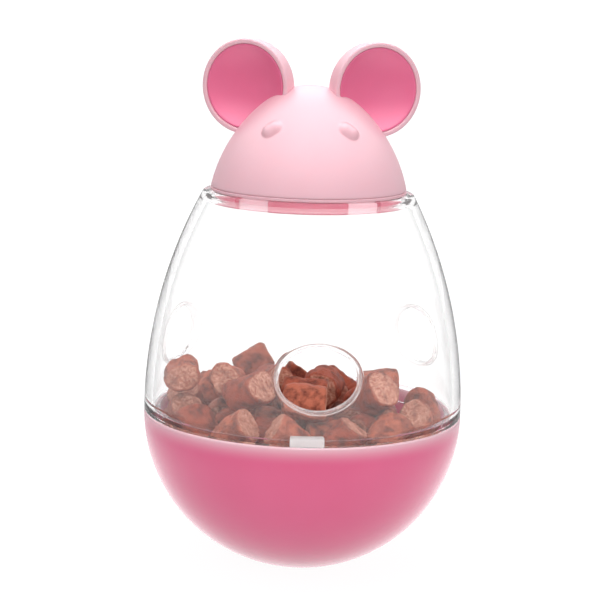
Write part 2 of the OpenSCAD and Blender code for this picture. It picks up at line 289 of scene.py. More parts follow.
class NodeTree:
    """A material's or world's node tree, with short calls to add and feed nodes."""

    def __init__(self, owner: bpy.types.Material | bpy.types.World) -> None:
        """Takes over a node tree and empties it.

        Args:
            owner: the material or world that the tree belongs to.
        """
        owner.use_nodes = True
        self.nodes = owner.node_tree.nodes
        self.links = owner.node_tree.links
        self.nodes.clear()

    def feed(self, source: Feed, target: Socket) -> None:
        """Links an output to an input, or sets the input to a plain value.

        Args:
            source: the output or the value.
            target: the input.
        """
        if isinstance(source, Socket):
            self.links.new(source, target)
        else:
            target.default_value = source

    def add(
        self, kind: str, inputs: dict[str | int, Feed] | None = None, **settings: object
    ) -> bpy.types.Node:
        """Adds a node.

        Args:
            kind: the node's type without the words ShaderNode.
            inputs: what feeds its inputs, by their names or numbers.
            settings: the node's own settings by name.

        Returns:
            The node.
        """
        node = self.nodes.new(f"ShaderNode{kind}")
        for name, value in settings.items():
            setattr(node, name, value)
        for name, source in (inputs or {}).items():
            self.feed(source, node.inputs[name])
        return node

    def spread(
        self, source: Socket, low: Socket | float, high: Socket | float, span: Span = WHOLE
    ) -> Socket:
        """Maps a value from one span to another, clamped.

        Args:
            source: the value.
            low: result at the start of the span.
            high: result at its end.
            span: start and end of the source's span.

        Returns:
            The mapped value.
        """
        ends = {"From Min": span[0], "From Max": span[1], "To Min": low, "To Max": high}
        return self.add("MapRange", {"Value": source, **ends}).outputs["Result"]

    def compute(
        self, operation: str, first: Socket, second: Socket | float, clamp: bool = False
    ) -> Socket:
        """Adds arithmetic on two values.

        Args:
            operation: the Math node's word for it.
            first: the first value.
            second: the second value.
            clamp: True to keep the result between 0 and 1.

        Returns:
            The result.
        """
        node = self.add("Math", {0: first, 1: second}, operation=operation, use_clamp=clamp)
        return node.outputs["Value"]

    def seen(self, *kinds: str) -> Socket:
        """Tells rays that show the background from rays that light the object.

        Args:
            kinds: names of the ray kinds that count besides camera rays.

        Returns:
            1 for camera rays and those kinds, and 0 for the others.
        """
        rays = self.add("LightPath")
        total = rays.outputs["Is Camera Ray"]
        for name in kinds:
            total = self.compute("ADD", total, rays.outputs[name], clamp=True)
        return total


class Sheet(NodeTree):
    """A material's node tree, with calls for surfaces, patterns and colours."""

    def __init__(self, name: str) -> None:
        """Starts an empty material of that name."""
        self.material = bpy.data.materials.new(name)
        super().__init__(self.material)

    def surface(self, inputs: dict[str | int, Feed]) -> bpy.types.Material:
        """Finishes the material with a Principled shader and its output.

        Args:
            inputs: what feeds the shader's inputs, by their names.

        Returns:
            The material.
        """
        shader = self.add("BsdfPrincipled", inputs)
        self.add("OutputMaterial", {"Surface": shader.outputs["BSDF"]})
        return self.material

    def place(self) -> Socket:
        """Adds the Object coordinates and returns them."""
        return self.add("TexCoord").outputs["Object"]

    def grain(self, scale: float, detail: float, roughness: float = 0.5) -> Socket:
        """Adds noise on Object coordinates.

        Args:
            scale: waves in a metre.
            detail: octaves.
            roughness: how much each finer octave counts.

        Returns:
            The noise.
        """
        waves = {"Scale": scale, "Detail": detail, "Roughness": roughness}
        return self.add("TexNoise", {"Vector": self.place(), **waves}).outputs["Fac"]

    def blend(self, share: Socket, first: Socket | Rgb, second: Socket | Rgb) -> Socket:
        """Mixes two colours.

        Args:
            share: share of the second colour.
            first: a colour socket or a display colour.
            second: a colour socket or a display colour.

        Returns:
            The mixed colour.
        """
        node = self.add("Mix", {"Factor": share}, data_type="RGBA")
        for name, colour in (("A", first), ("B", second)):
            socket = next(s for s in node.inputs if s.name == name and s.type == "RGBA")
            self.feed(linear(colour) if isinstance(colour, tuple) else colour, socket)
        return next(s for s in node.outputs if s.type == "RGBA")

    def relief(self, height: Socket, strength: float, distance: float) -> Socket:
        """Adds a bump.

        Args:
            height: the height of the relief.
            strength: how much of it shows.
            distance: metres that a height of 1 stands for.

        Returns:
            The bumped normal.
        """
        node = self.add("Bump", {"Strength": strength, "Distance": distance, "Height": height})
        return node.outputs["Normal"]


@dataclass(frozen=True)
class MouldedPlastic:
    """Satin moulded plastic with a faint drift of colour, and at will a painted highlight: a lighter
    colour painted along its upper edge.
    """

    name: str
    colour: Rgb
    drift_colour: Rgb
    roughness: float
    glow: float
    glow_radius: tuple[float, float, float] = (1.0, 0.45, 0.4)
    glow_depth: float = 0.002
    drift_scale: float = 45.0
    drift_detail: float = 3.0
    drift_span: Span = (0.35, 0.7)
    sheen_swing: float = 0.02
    sheen_span: Span = (0.3, 0.7)
    ior: float = 1.5
    painted_highlight_edge: float | None = None
    painted_highlight_colour: Rgb = (250, 208, 218)
    painted_highlight_depth: float = 0.0042
    painted_highlight_fall: float = 2.2

    def material(self) -> bpy.types.Material:
        """Builds the material.

        Returns:
            The material.
        """
        sheet = Sheet(self.name)
        drift = sheet.grain(self.drift_scale, self.drift_detail)
        share = sheet.spread(drift, *WHOLE, self.drift_span)
        colour = sheet.blend(share, self.colour, self.drift_colour)
        # Painted highlight: the upper edge is painted a lighter pink, standing in for the light that
        # the rim catches.
        if self.painted_highlight_edge is not None:
            colour = sheet.blend(self._painted_highlight_share(sheet), colour, self.painted_highlight_colour)
        low, high = self.roughness - self.sheen_swing, self.roughness + self.sheen_swing
        return sheet.surface(
            {
                "Base Color": colour,
                "Roughness": sheet.spread(drift, low, high, self.sheen_span),
                "Subsurface Weight": self.glow,
                "Subsurface Radius": self.glow_radius,
                "Subsurface Scale": self.glow_depth,
                "IOR": self.ior,
            }
        )

    def _painted_highlight_share(self, sheet: Sheet) -> Socket:
        """Adds the share of the painted highlight, the lighter colour painted along the upper edge.

        Args:
            sheet: the material's nodes.

        Returns:
            1 at the height of the edge, falling to 0 at the depth that the painted highlight
            reaches.
        """
        split = sheet.add("SeparateXYZ", {"Vector": sheet.place()})
        reach = (self.painted_highlight_edge - self.painted_highlight_depth, self.painted_highlight_edge)
        near = sheet.spread(split.outputs["Z"], *WHOLE, reach)
        return sheet.compute("POWER", near, self.painted_highlight_fall)


@dataclass(frozen=True)
class ClearPlastic:
    """Clear moulded plastic with painted shade: its colour goes grey where the wall is seen along
    its face, for the dark edges of clear plastic.
    """

    name: str
    face_colour: Rgb
    edge_shade_colour: Rgb
    clarity: float
    roughness: float = 0.0
    haze: float = 0.03
    ior: float = 1.49
    edge_shade_span: Span = (0.7, 1.0)
    scuff_scale: float = 900.0
    scuff_detail: float = 4.0
    scuff_roughness: float = 0.7
    scuff_span: Span = (0.55, 0.8)
    wave_scale: float = 70.0
    wave_detail: float = 1.0
    wave_strength: float = 0.15
    wave_height: float = 0.0003

    def material(self) -> bpy.types.Material:
        """Builds the material.

        Returns:
            The material.
        """
        sheet = Sheet(self.name)
        # Painted shade: the colour turns grey towards grazing view, for the dark edges of the wall.
        facing = sheet.add("LayerWeight")
        share = sheet.spread(facing.outputs["Facing"], *WHOLE, self.edge_shade_span)
        colour = sheet.blend(share, self.face_colour, self.edge_shade_colour)
        scuffs = sheet.grain(self.scuff_scale, self.scuff_detail, self.scuff_roughness)
        rough = sheet.spread(scuffs, self.roughness, self.roughness + self.haze, self.scuff_span)
        waves = sheet.grain(self.wave_scale, self.wave_detail)
        return sheet.surface(
            {
                "Base Color": colour,
                "Roughness": rough,
                "Normal": sheet.relief(waves, self.wave_strength, self.wave_height),
                "Transmission Weight": self.clarity,
                "IOR": self.ior,
            }
        )


@dataclass(frozen=True)
class BakedTreat:
    """Baked meat treat: reddish brown, pitted, with paler fibrous cut ends."""

    name: str
    crust: Rgb
    dark_crust: Rgb
    pale_crust: Rgb
    cut_face: Rgb
    cut_shade: Rgb
    roughness: float
    rough_swing: float = 0.12
    rough_span: Span = (0.3, 0.7)
    ior: float = 1.45
    lump_scale: float = 420.0
    lump_detail: float = 5.0
    lump_roughness: float = 0.6
    crumb_scale: float = 1700.0
    crumb_detail: float = 4.0
    crumb_roughness: float = 0.65
    pit_span: Span = (0.34, 0.56)
    fibre_span: Span = (0.38, 0.62)
    wear: float = 0.45
    wear_span: Span = (0.36, 0.52)
    relief_strength: float = 0.8
    relief_height: float = 0.0006

    def material(self) -> bpy.types.Material:
        """Builds the material.

        Returns:
            The material.
        """
        sheet = Sheet(self.name)
        lumps = sheet.grain(self.lump_scale, self.lump_detail, self.lump_roughness)
        crumbs = sheet.grain(self.crumb_scale, self.crumb_detail, self.crumb_roughness)
        tint = sheet.add("Attribute", attribute_name=TreatHeap.TINT)
        cut = sheet.add("Attribute", attribute_name=TreatHeap.CUT)
        base = sheet.blend(tint.outputs["Fac"], self.crust, self.pale_crust)
        pits = sheet.spread(lumps, 1.0, 0.0, self.pit_span)
        crust = sheet.blend(pits, base, self.dark_crust)
        fibres = sheet.spread(crumbs, *WHOLE, self.fibre_span)
        face = sheet.blend(fibres, self.cut_shade, self.cut_face)
        bare = sheet.spread(lumps, self.wear, 1.0, self.wear_span)
        colour = sheet.blend(sheet.compute("MULTIPLY", cut.outputs["Fac"], bare), crust, face)
        low, high = self.roughness - self.rough_swing, self.roughness + self.rough_swing
        height = sheet.compute("ADD", lumps, crumbs)
        return sheet.surface(
            {
                "Base Color": colour,
                "Roughness": sheet.spread(crumbs, low, high, self.rough_span),
                "Normal": sheet.relief(height, self.relief_strength, self.relief_height),
                "IOR": self.ior,
            }
        )


@dataclass(frozen=True)
class CastMetal:
    """Dull cast iron with a grainy skin."""

    name: str
    colour: Rgb
    rust: Rgb
    rust_share: float = 0.5
    rust_span: Span = (0.5, 0.75)
    skin_scale: float = 1500.0
    skin_detail: float = 5.0
    skin_roughness: float = 0.7
    rough: Span = (0.45, 0.7)
    rough_span: Span = (0.3, 0.7)
    relief_strength: float = 0.6
    relief_height: float = 0.0003

    def material(self) -> bpy.types.Material:
        """Builds the material.

        Returns:
            The material.
        """
        sheet = Sheet(self.name)
        skin = sheet.grain(self.skin_scale, self.skin_detail, self.skin_roughness)
        share = sheet.spread(skin, 0.0, self.rust_share, self.rust_span)
        return sheet.surface(
            {
                "Base Color": sheet.blend(share, self.colour, self.rust),
                "Roughness": sheet.spread(skin, *self.rough, self.rough_span),
                "Normal": sheet.relief(skin, self.relief_strength, self.relief_height),
                "Metallic": 1.0,
            }
        )


@dataclass(frozen=True)
class Finishes:
    """The materials that the pieces share."""

    deep_pink: bpy.types.Material
    bowl_pink: bpy.types.Material
    pale_pink: bpy.types.Material
    tab_painted_shade_pink: bpy.types.Material
    skirt_painted_light_pink: bpy.types.Material
    clear: bpy.types.Material
    clear_rim: bpy.types.Material
    clear_bead: bpy.types.Material
    frosted: bpy.types.Material
    treat: bpy.types.Material
    cast: bpy.types.Material

    @classmethod
    def make(cls, seam: float) -> Finishes:
        """Builds every material.

        Args:
            seam: height of the bowl's upper edge in metres.

        Returns:
            The materials together.
        """
        recipes = {
            "deep_pink": MouldedPlastic(
                "deep_pink", (239, 117, 156), (235, 112, 151), roughness=0.3, glow=0.12
            ),
            # The bowl's upper edge gets a painted highlight, a lighter pink painted by height.
            "bowl_pink": MouldedPlastic(
                "bowl_pink",
                (234, 98, 145),
                (230, 93, 140),
                roughness=0.22,
                glow=0.12,
                painted_highlight_edge=seam,
            ),
            "pale_pink": MouldedPlastic(
                "pale_pink", (241, 192, 203), (239, 187, 198), roughness=0.4, glow=0.2
            ),
            # The plug ring's tabs take a darker copy of the deep pink, painted shade, and its skirt
            # and flange a pale copy, painted light.
            "tab_painted_shade_pink": MouldedPlastic(
                "tab_painted_shade_pink", (205, 84, 112), (201, 79, 107), roughness=0.35, glow=0.12
            ),
            "skirt_painted_light_pink": MouldedPlastic(
                "skirt_painted_light_pink", (243, 190, 200), (241, 184, 196), roughness=0.42, glow=0.2
            ),
            "clear": ClearPlastic(
                "clear", (255, 255, 255), (112, 114, 118), clarity=0.96, ior=1.22
            ),
            "clear_rim": ClearPlastic(
                "clear_rim", (255, 255, 255), (246, 246, 248), clarity=0.96, ior=1.12
            ),
            "clear_bead": ClearPlastic(
                "clear_bead",
                (255, 252, 252),
                (205, 205, 208),
                roughness=0.06,
                haze=0.05,
                clarity=0.8,
                ior=1.16,
            ),
            "frosted": ClearPlastic(
                "frosted", (250, 246, 246), (235, 232, 232), roughness=0.45, haze=0.1, clarity=0.55
            ),
            "treat": BakedTreat(
                name="baked_treat",
                crust=(163, 71, 47),
                dark_crust=(104, 44, 31),
                pale_crust=(190, 104, 78),
                cut_face=(216, 160, 138),
                cut_shade=(170, 94, 72),
                roughness=0.55,
            ),
            "cast": CastMetal("cast_weight", (120, 120, 122), rust=(96, 80, 70)),
        }
        return cls(**{use: recipe.material() for use, recipe in recipes.items()})


@dataclass(frozen=True)
class Datum:
    """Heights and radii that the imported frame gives, in millimetres."""

    belly_r: float
    seam_z: float
    floor_z: float
    neck_z: float
    plug_z: float
    brim_z: float
    brim_r: float

    @classmethod
    def from_frame(cls) -> Datum:
        """Reads the frame's boxes.

        Returns:
            The shared sizes.
        """
        bowl_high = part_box("bowl")[1] / MM
        head_low, head_high = (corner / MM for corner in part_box("head_dome"))
        return cls(
            belly_r=bowl_high.x,
            seam_z=bowl_high.z,
            floor_z=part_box("false_floor")[1].z / MM,
            neck_z=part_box("clear_shell")[1].z / MM,
            plug_z=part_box("plug_ring")[0].z / MM,
            brim_z=head_low.z,
            brim_r=head_high.x,
        )


@dataclass
class Bowl:
    """Weighted bowl, with the shelf and clips that hold the false floor."""

    datum: Datum
    foot_r: float = 6.0
    wall: float = 2.0
    floor_t: float = 1.6
    face_gap: float = 0.1
    fit: float = 0.2
    shelf_w: float = 3.0
    shelf_t: float = 1.5
    clip_count: int = 3
    clip_angle: float = 14.0
    clip_h: float = 1.2
    clip_reach: float = 0.7
    foot_ease: float = 2.0
    rim_ease: float = 1.2
    outer_chords: int = 64
    rim_chords: int = 10
    bottom_chords: int = 40
    clip_steps: int = 6
    steps: int = 192

    def _inner_reach(self, height: float) -> float:
        """Returns the bowl's inner radius at a height."""
        inner = self.datum.belly_r - self.wall
        return math.sqrt(inner**2 - (self.datum.seam_z - height) ** 2)

    def _outline(self) -> Outline:
        """Draws the bowl's half section.

        Returns:
            The outline from the foot, over the rim, to the inner bottom.
        """
        d = self.datum
        centre = (0.0, d.seam_z)
        inner = d.belly_r - self.wall
        floor_under = d.floor_z - self.floor_t
        shelf_top = floor_under - self.face_gap
        shelf_low = shelf_top - self.shelf_t
        shelf_r = self._inner_reach(floor_under) - self.fit - self.shelf_w
        outline = Outline().corner(0, 0).corner(self.foot_r, 0, fillet=1.2)
        foot_angle = -math.degrees(math.acos(self.foot_r / d.belly_r))
        low_end = foot_angle + self.foot_ease
        outline.arc(centre, d.belly_r, low_end, -self.rim_ease, self.outer_chords)
        outline.corner(d.belly_r, d.seam_z, fillet=0.4).corner(inner, d.seam_z, fillet=0.35)
        shelf_angle = math.degrees(math.asin((shelf_top - d.seam_z) / inner))
        outline.arc(centre, inner, -self.rim_ease, shelf_angle, self.rim_chords)
        outline.corner(shelf_r, shelf_top, fillet=0.2).corner(shelf_r, shelf_low, fillet=0.2)
        low_angle = math.degrees(math.asin((shelf_low - d.seam_z) / inner))
        return outline.arc(centre, inner, low_angle, -90, self.bottom_chords)

    def _clip(self) -> Outline:
        """Draws the section of a clip over the false floor's edge.

        Returns:
            The closed outline.
        """
        d = self.datum
        low = d.floor_z + self.face_gap
        tip = self._inner_reach(d.floor_z - self.floor_t) - self.fit - self.clip_reach
        root = self._inner_reach(low) + self.wall / 2
        outline = Outline().corner(tip, low, fillet=0.2).corner(root, low)
        return outline.corner(root, low + self.clip_h).corner(tip, low + self.clip_h, fillet=0.3)

    def build(self, finishes: Finishes) -> None:
        """Builds the bowl with its clips.

        Args:
            finishes: the shared materials.
        """
        bm = bmesh.new()
        revolve(bm, self._outline(), self.steps, ring=False)
        for i in range(self.clip_count):
            start = i * 360 / self.clip_count
            revolve(
                bm, self._clip(), self.clip_steps, ring=True, start=start, sweep=self.clip_angle
            )
        seat(publish(bm, "bowl_shell", [finishes.bowl_pink]), "bowl", "deep_pink_plastic", "bowl")


@dataclass(frozen=True)
class TreatSpot:
    """Place, axis and size of one CAD treat, in millimetres."""

    NORMAL_DIGITS = 2

    centre: Vector
    axis: Vector
    radius: float
    length: float

    @classmethod
    def around(cls, faces: Sequence[bmesh.types.BMFace]) -> TreatSpot:
        """Measures a treat from its faces.

        Args:
            faces: every face of one CAD treat.

        Returns:
            The treat's place, with the axis square to its flat ends.
        """
        areas: dict[tuple[float, ...], float] = {}
        for face in faces:
            key = tuple(round(value, cls.NORMAL_DIGITS) for value in face.normal)
            areas[key] = areas.get(key, 0.0) + face.calc_area()
        axis = Vector(max(areas, key=lambda key: (areas[key], key))).normalized()
        corners = [vert.co for face in faces for vert in face.verts]
        along = [corner.dot(axis) for corner in corners]
        whole = sum(areas.values())
        centre = sum((f.calc_center_median() * f.calc_area() for f in faces), Vector()) / whole
        out = max((c - centre - axis * (c - centre).dot(axis)).length for c in corners)
        return cls(centre, axis, out, max(along) - min(along))


@dataclass
class TreatHeap:
    """Loose cut treats, one over each treat of the CAD heap."""

    CUT = "cut_end"
    TINT = "tint"

    node: bpy.types.Object
    weld: float = 0.01
    girth: Span = (0.95, 1.05)
    stretch: Span = (0.88, 1.06)
    rim_bevel: float = 0.6
    cap_insets: tuple[float, ...] = (0.1, 0.2, 0.2, 0.2)
    slant: float = 0.2
    bend: float = 0.6
    bend_level: float = 0.4
    oval: Span = (0.92, 1.09)
    swells: tuple[Span, ...] = ((0.8, 0.2), (0.4, 0.62))
    crease_depth: Span = (0.2, 0.9)
    crease_w: float = 0.32
    crease_wander: Span = (0.5, 0.3)
    cut_rough: Span = (0.4, 0.8)
    cut_from: float = 0.985
    cut_within: float = 0.88
    noise_reach: float = 50.0
    sides: int = 28
    rings: int = 9
    seed: int = 7

    def _spots(self) -> list[TreatSpot]:
        """Finds the CAD treats, which lie apart from each other in one node.

        Returns:
            The treats' places, in the order of their first faces.
        """
        bm = bmesh.new()
        bm.from_mesh(self.node.data)
        bmesh.ops.transform(bm, matrix=self.node.matrix_world, verts=bm.verts)
        bmesh.ops.scale(bm, vec=(1 / MM,) * 3, verts=bm.verts)
        bmesh.ops.remove_doubles(bm, verts=bm.verts, dist=self.weld)
        spots = []
        seen: set[bmesh.types.BMFace] = set()
        for first in bm.faces:
            if first in seen:
                continue
            treat = [first]
            seen.add(first)
            for face in treat:
                fresh = {f for e in face.edges for f in e.link_faces} - seen
                seen |= fresh
                treat.extend(sorted(fresh, key=lambda f: f.index))
            spots.append(TreatSpot.around(treat))
        bm.free()
        LOG.info("%d treats found in the CAD heap", len(spots))
        return spots

    def _stick(self, spot: TreatSpot, pick: random.Random) -> tuple[bpy.types.Mesh, list[float]]:
        """Makes one treat in its place, in millimetres.

        Args:
            spot: the CAD treat that it covers.
            pick: the source of its irregularities.

        Returns:
            The mesh and, for each vertex, how far it belongs to a cut end.
        """
        radius = spot.radius * pick.uniform(*self.girth)
        length = spot.length * pick.uniform(*self.stretch)
        bm = bmesh.new()
        bmesh.ops.create_cone(
            bm, cap_ends=True, segments=self.sides, radius1=radius, radius2=radius, depth=length
        )
        long_edges = [e for e in bm.edges if e.calc_length() > length / 2]
        bmesh.ops.subdivide_edges(bm, edges=long_edges, cuts=self.rings, use_grid_fill=True)
        caps = [f for f in bm.faces if len(f.verts) == self.sides]
        rims = [e for f in caps for e in f.edges]
        bmesh.ops.bevel(
            bm,
            geom=rims,
            offset=self.rim_bevel,
            segments=2,
            profile=0.5,
            affect="EDGES",
            material=-1,
        )
        caps = [f for f in bm.faces if len(f.verts) == self.sides]
        for share in self.cap_insets:
            bmesh.ops.inset_region(bm, faces=caps, thickness=radius * share)
        bmesh.ops.poke(bm, faces=caps)
        ends = self._roughen(bm, radius, length, pick)
        upright = spot.axis.to_track_quat("Z", "Y").to_matrix().to_4x4()
        spin = Matrix.Rotation(pick.uniform(0, math.tau), 4, "Z")
        bmesh.ops.transform(
            bm, matrix=Matrix.Translation(spot.centre) @ upright @ spin, verts=bm.verts
        )
        mesh = bpy.data.meshes.new("stick")
        bm.to_mesh(mesh)
        bm.free()
        return mesh, ends

    def _roughen(
        self, bm: bmesh.types.BMesh, radius: float, length: float, pick: random.Random
    ) -> list[float]:
        """Makes a plain stick lumpy, bent and creased, with slanted rough ends.

        Args:
            bm: the stick, along Z about the origin.
            radius: its radius.
            length: its length.
            pick: the source of its irregularities.

        Returns:
            For each vertex, how far it belongs to a cut end.
        """
        lean = [pick.uniform(-self.slant, self.slant) for _ in range(4)]
        bend = pick.uniform(-self.bend, self.bend)
        oval = pick.uniform(*self.oval)
        crease = pick.uniform(*self.crease_depth)
        shift = Vector([pick.uniform(-self.noise_reach, self.noise_reach) for _ in range(3)])
        wander, wander_waves = self.crease_wander
        pits, pit_waves = self.cut_rough
        ends: list[float] = []
        for vert in bm.verts:
            co = vert.co.copy()
            along = co.z / (length / 2)
            out = math.hypot(co.x, co.y) / radius
            on_cut = 1.0 if abs(along) > self.cut_from and out < self.cut_within else 0.0
            ends.append(on_cut)
            swell = sum(high * noise.noise(co * waves + shift) for high, waves in self.swells)
            turn = math.atan2(co.y, co.x)
            turn += wander * noise.noise(Vector((0, 0, co.z * wander_waves)) + shift)
            swell -= crease * math.exp(-((turn / self.crease_w) ** 2)) * out
            grown = co + Vector((co.x, co.y, 0)) / radius * swell
            tilt = lean[:2] if along > 0 else lean[2:]
            grown.z += abs(along) ** 3 * (grown.x * tilt[0] + grown.y * tilt[1])
            grown.z += on_cut * pits * noise.noise(co * pit_waves - shift)
            grown.x = grown.x * oval + bend * (along**2 - self.bend_level)
            grown.y /= oval
            vert.co = grown
        return ends

    def build(self, finishes: Finishes) -> None:
        """Builds the heap as one piece.

        Args:
            finishes: the shared materials.
        """
        pick = random.Random(self.seed)
        bm = bmesh.new()
        cuts: list[float] = []
        tints: list[float] = []
        for spot in self._spots():
            stick, ends = self._stick(spot, pick)
            bm.from_mesh(stick)
            cuts.extend(ends)
            tints.extend([pick.random() ** 2] * len(ends))
            bpy.data.meshes.remove(stick)
        heap = publish(bm, "treat_heap", [finishes.treat], math.pi)
        for name, values in ((self.CUT, cuts), (self.TINT, tints)):
            layer = heap.data.attributes.new(name, "FLOAT", "POINT")
            layer.data.foreach_set("value", values)
        seat(heap, "bowl", "treat", "treats")


@dataclass
class ClearShell:
    """Clear egg shell with its beaded ports, filling neck, lip and locating key."""

    datum: Datum
    flank_r: float = 106.0
    wall: float = 2.0
    lip_out_r: float = 33.67
    lip_wall: float = 1.4
    lip_h: float = 3.0
    ledge_h: float = 1.0
    face_gap: float = 0.1
    neck_bore_r: float = 21.09
    neck_bore_h: float = 1.5
    port_count: int = 3
    port_turn: float = 5.5
    port_up: float = 14.3
    port_w: float = 16.8
    port_h: float = 13.2
    port_end_r: float = 5.6
    bead_w: float = 0.6
    bead_out: float = 0.4
    key_w: float = 7.5
    key_h: float = 1.9
    key_turn: float = 2.0
    key_in: float = 0.2
    seam_ease: float = 1.2
    neck_ease: float = 1.0
    bore_ease: float = 0.8
    ledge_ease: float = 0.9
    bead_lands: Span = (0.75, 0.22)
    bead_angles: tuple[int, ...] = (14, 40, 65, 90, 115, 140, 166)
    bead_fullness: float = 0.75
    port_edge_in: float = 0.25
    cut_spare: float = 0.5
    rim_ledges: float = 2.5
    flank_tolerance: float = 0.04
    flank_chords: int = 60
    key_steps: int = 10
    steps: int = 208
    oval_steps: int = 104

    def reach(self, up: float, grow: float = 0.0) -> float:
        """Gives the radius of the flank's arc.

        Args:
            up: height above the seam.
            grow: distance outside the outer face.

        Returns:
            The radius.
        """
        return self.datum.belly_r - self.flank_r + math.sqrt((self.flank_r + grow) ** 2 - up**2)

    def _flank(self, outline: Outline, grow: float, start: float, end: float) -> None:
        """Adds a stretch of the flank's arc to an outline.

        Args:
            outline: the outline to extend.
            grow: distance outside the shell's outer face.
            start: height above the seam at which the stretch starts.
            end: height above the seam at which it ends.
        """
        radius = self.flank_r + grow
        angles = [math.degrees(math.asin(up / radius)) for up in (start, end)]
        centre = (self.datum.belly_r - self.flank_r, self.datum.seam_z)
        outline.arc(centre, radius, angles[0], angles[1], self.flank_chords)

    def _outline(self) -> Outline:
        """Draws the shell's half section.

        Returns:
            The closed outline: flank, neck, inner flank, ledge and lip.
        """
        d = self.datum
        top = d.neck_z - d.seam_z
        lip_in_r = self.lip_out_r - self.lip_wall
        low = d.seam_z + self.face_gap
        ledge = d.seam_z + self.ledge_h
        tip = d.seam_z - self.lip_h
        outline = Outline().corner(d.belly_r, low, fillet=0.35)
        self._flank(outline, 0.0, self.seam_ease, top - self.neck_ease)
        outline.corner(self.reach(top), d.neck_z, fillet=0.45)
        outline.corner(self.neck_bore_r, d.neck_z, fillet=0.35)
        outline.corner(self.neck_bore_r, d.neck_z - self.neck_bore_h, fillet=0.6)
        bore_low = top - self.neck_bore_h
        ledge_end = self.ledge_h + self.ledge_ease
        self._flank(outline, -self.wall, bore_low - self.bore_ease, ledge_end)
        outline.corner(self.reach(self.ledge_h, -self.wall), ledge, fillet=0.5)
        outline.corner(lip_in_r, ledge, fillet=0.4).corner(lip_in_r, tip, fillet=0.4)
        outline.corner(self.lip_out_r, tip, fillet=0.4)
        return outline.corner(self.lip_out_r, low, fillet=0.12)

    def _oval_arcs(self) -> tuple[float, float, float]:
        """Works out a port's arcs.

        Returns:
            Distance of the end arcs' centres from the middle, distance of the flatter arcs'
            centres from the middle, and the flatter arcs' radius.
        """
        end_x = self.port_w / 2 - self.port_end_r
        rise = self.port_h / 2 - self.port_end_r
        flat_y = (end_x**2 - rise**2) / (2 * rise)
        return end_x, flat_y, self.port_h / 2 + flat_y

    def _oval_point(self, turn: float, margin: float) -> tuple[float, float]:
        """Gives a point of a port's oval.

        Args:
            turn: direction of the oval's normal there, in radians.
            margin: distance outside the clear opening.

        Returns:
            The point, across and up from the port's centre.
        """
        end_x, flat_y, flat_r = self._oval_arcs()
        across, up = math.cos(turn), math.sin(turn)
        if abs(up) * end_x < abs(across) * flat_y:
            radius = self.port_end_r + margin
            return math.copysign(end_x, across) + radius * across, radius * up
        radius = flat_r + margin
        return radius * across, radius * up - math.copysign(flat_y, up)

    def _oval_margin(self, across: float, up: float) -> float:
        """Gives how far a point lies outside a port's clear opening.

        Args:
            across: the point's place across from the port's centre.
            up: its place up from the centre.

        Returns:
            The distance, which is negative inside the opening.
        """
        end_x, flat_y, flat_r = self._oval_arcs()
        x, y = abs(across), abs(up)
        if x * flat_y <= end_x * (y + flat_y):
            return math.hypot(x, y + flat_y) - flat_r
        return math.hypot(x - end_x, y) - self.port_end_r

    def _on_wall(self, azimuth: float, turn: float, margin: float, grow: float) -> Vector:
        """Places a point of a port's oval on the shell.

        Args:
            azimuth: direction of the port, in radians.
            turn: direction of the oval's normal there.
            margin: distance outside the clear opening.
            grow: distance outside the shell's outer face.

        Returns:
            The point.
        """
        across, up = self._oval_point(turn, margin)
        radius = self.reach(self.port_up + up, grow)
        depth = math.sqrt(radius**2 - across**2)
        out = Vector((math.cos(azimuth), math.sin(azimuth), 0))
        along = Vector((-math.sin(azimuth), math.cos(azimuth), 0))
        return out * depth + along * across + Vector((0, 0, self.datum.seam_z + self.port_up + up))

    def _bead(self, wall: Wall) -> list[tuple[float, float]]:
        """Lists a port's rings on one face of the wall.

        Args:
            wall: the face of the wall.

        Returns:
            Each ring's margin and distance outside the shell, from the wall to the opening.
        """
        surface = 0.0 if wall is Wall.OUTER else -self.wall
        rings = [(self.bead_w + land, surface) for land in self.bead_lands]
        for angle in self.bead_angles:
            share = math.cos(math.radians(angle))
            rise = math.sin(math.radians(angle)) ** self.bead_fullness
            margin = self.bead_w / 2 * (1 + share)
            rings.append((margin, surface + wall.value * self.bead_out * rise))
        rings.append((0.0, surface - wall.value * self.port_edge_in * self.wall))
        return rings

    def _cut_port(self, bm: bmesh.types.BMesh, azimuth: float) -> None:
        """Opens one port with its bead.

        Args:
            bm: the shell's closed mesh.
            azimuth: direction of the port, in radians.
        """
        out = Vector((math.cos(azimuth), math.sin(azimuth), 0))
        along = Vector((-math.sin(azimuth), math.cos(azimuth), 0))
        centre_z = self.datum.seam_z + self.port_up
        last_rings: list[dict[bmesh.types.BMVert, float]] = []
        kept_open: set[bmesh.types.BMEdge] = set()
        for wall in Wall:
            rings = self._bead(wall)
            cut_margin = rings[0][0] + self.cut_spare
            doomed = []
            for face in bm.faces:
                at = face.calc_center_median()
                if at.dot(out) <= 0 or abs(at.z - centre_z) > self.port_h:
                    continue
                middle = self.reach(at.z - self.datum.seam_z, -self.wall / 2)
                outside = math.hypot(at.x, at.y) > middle
                if outside != (wall is Wall.OUTER):
                    continue
                if self._oval_margin(at.dot(along), at.z - centre_z) < cut_margin:
                    doomed.append(face)
            bmesh.ops.delete(bm, geom=doomed, context="FACES")
            hole = [e for e in bm.edges if e.is_boundary and e not in kept_open]
            circle = bmesh.ops.create_circle(bm, segments=self.oval_steps, radius=1.0)["verts"]
            ring = {v: math.atan2(v.co.y, v.co.x) for v in circle}
            self._place_ring(ring, azimuth, rings[0])
            bmesh.ops.bridge_loops(bm, edges=hole + self._ring_edges(ring))
            for step in rings[1:]:
                ring = self._extend(bm, ring, azimuth, step)
            last_rings.append(ring)
            kept_open.update(self._ring_edges(ring))
        both = [e for ring in last_rings for e in self._ring_edges(ring)]
        bmesh.ops.bridge_loops(bm, edges=both)

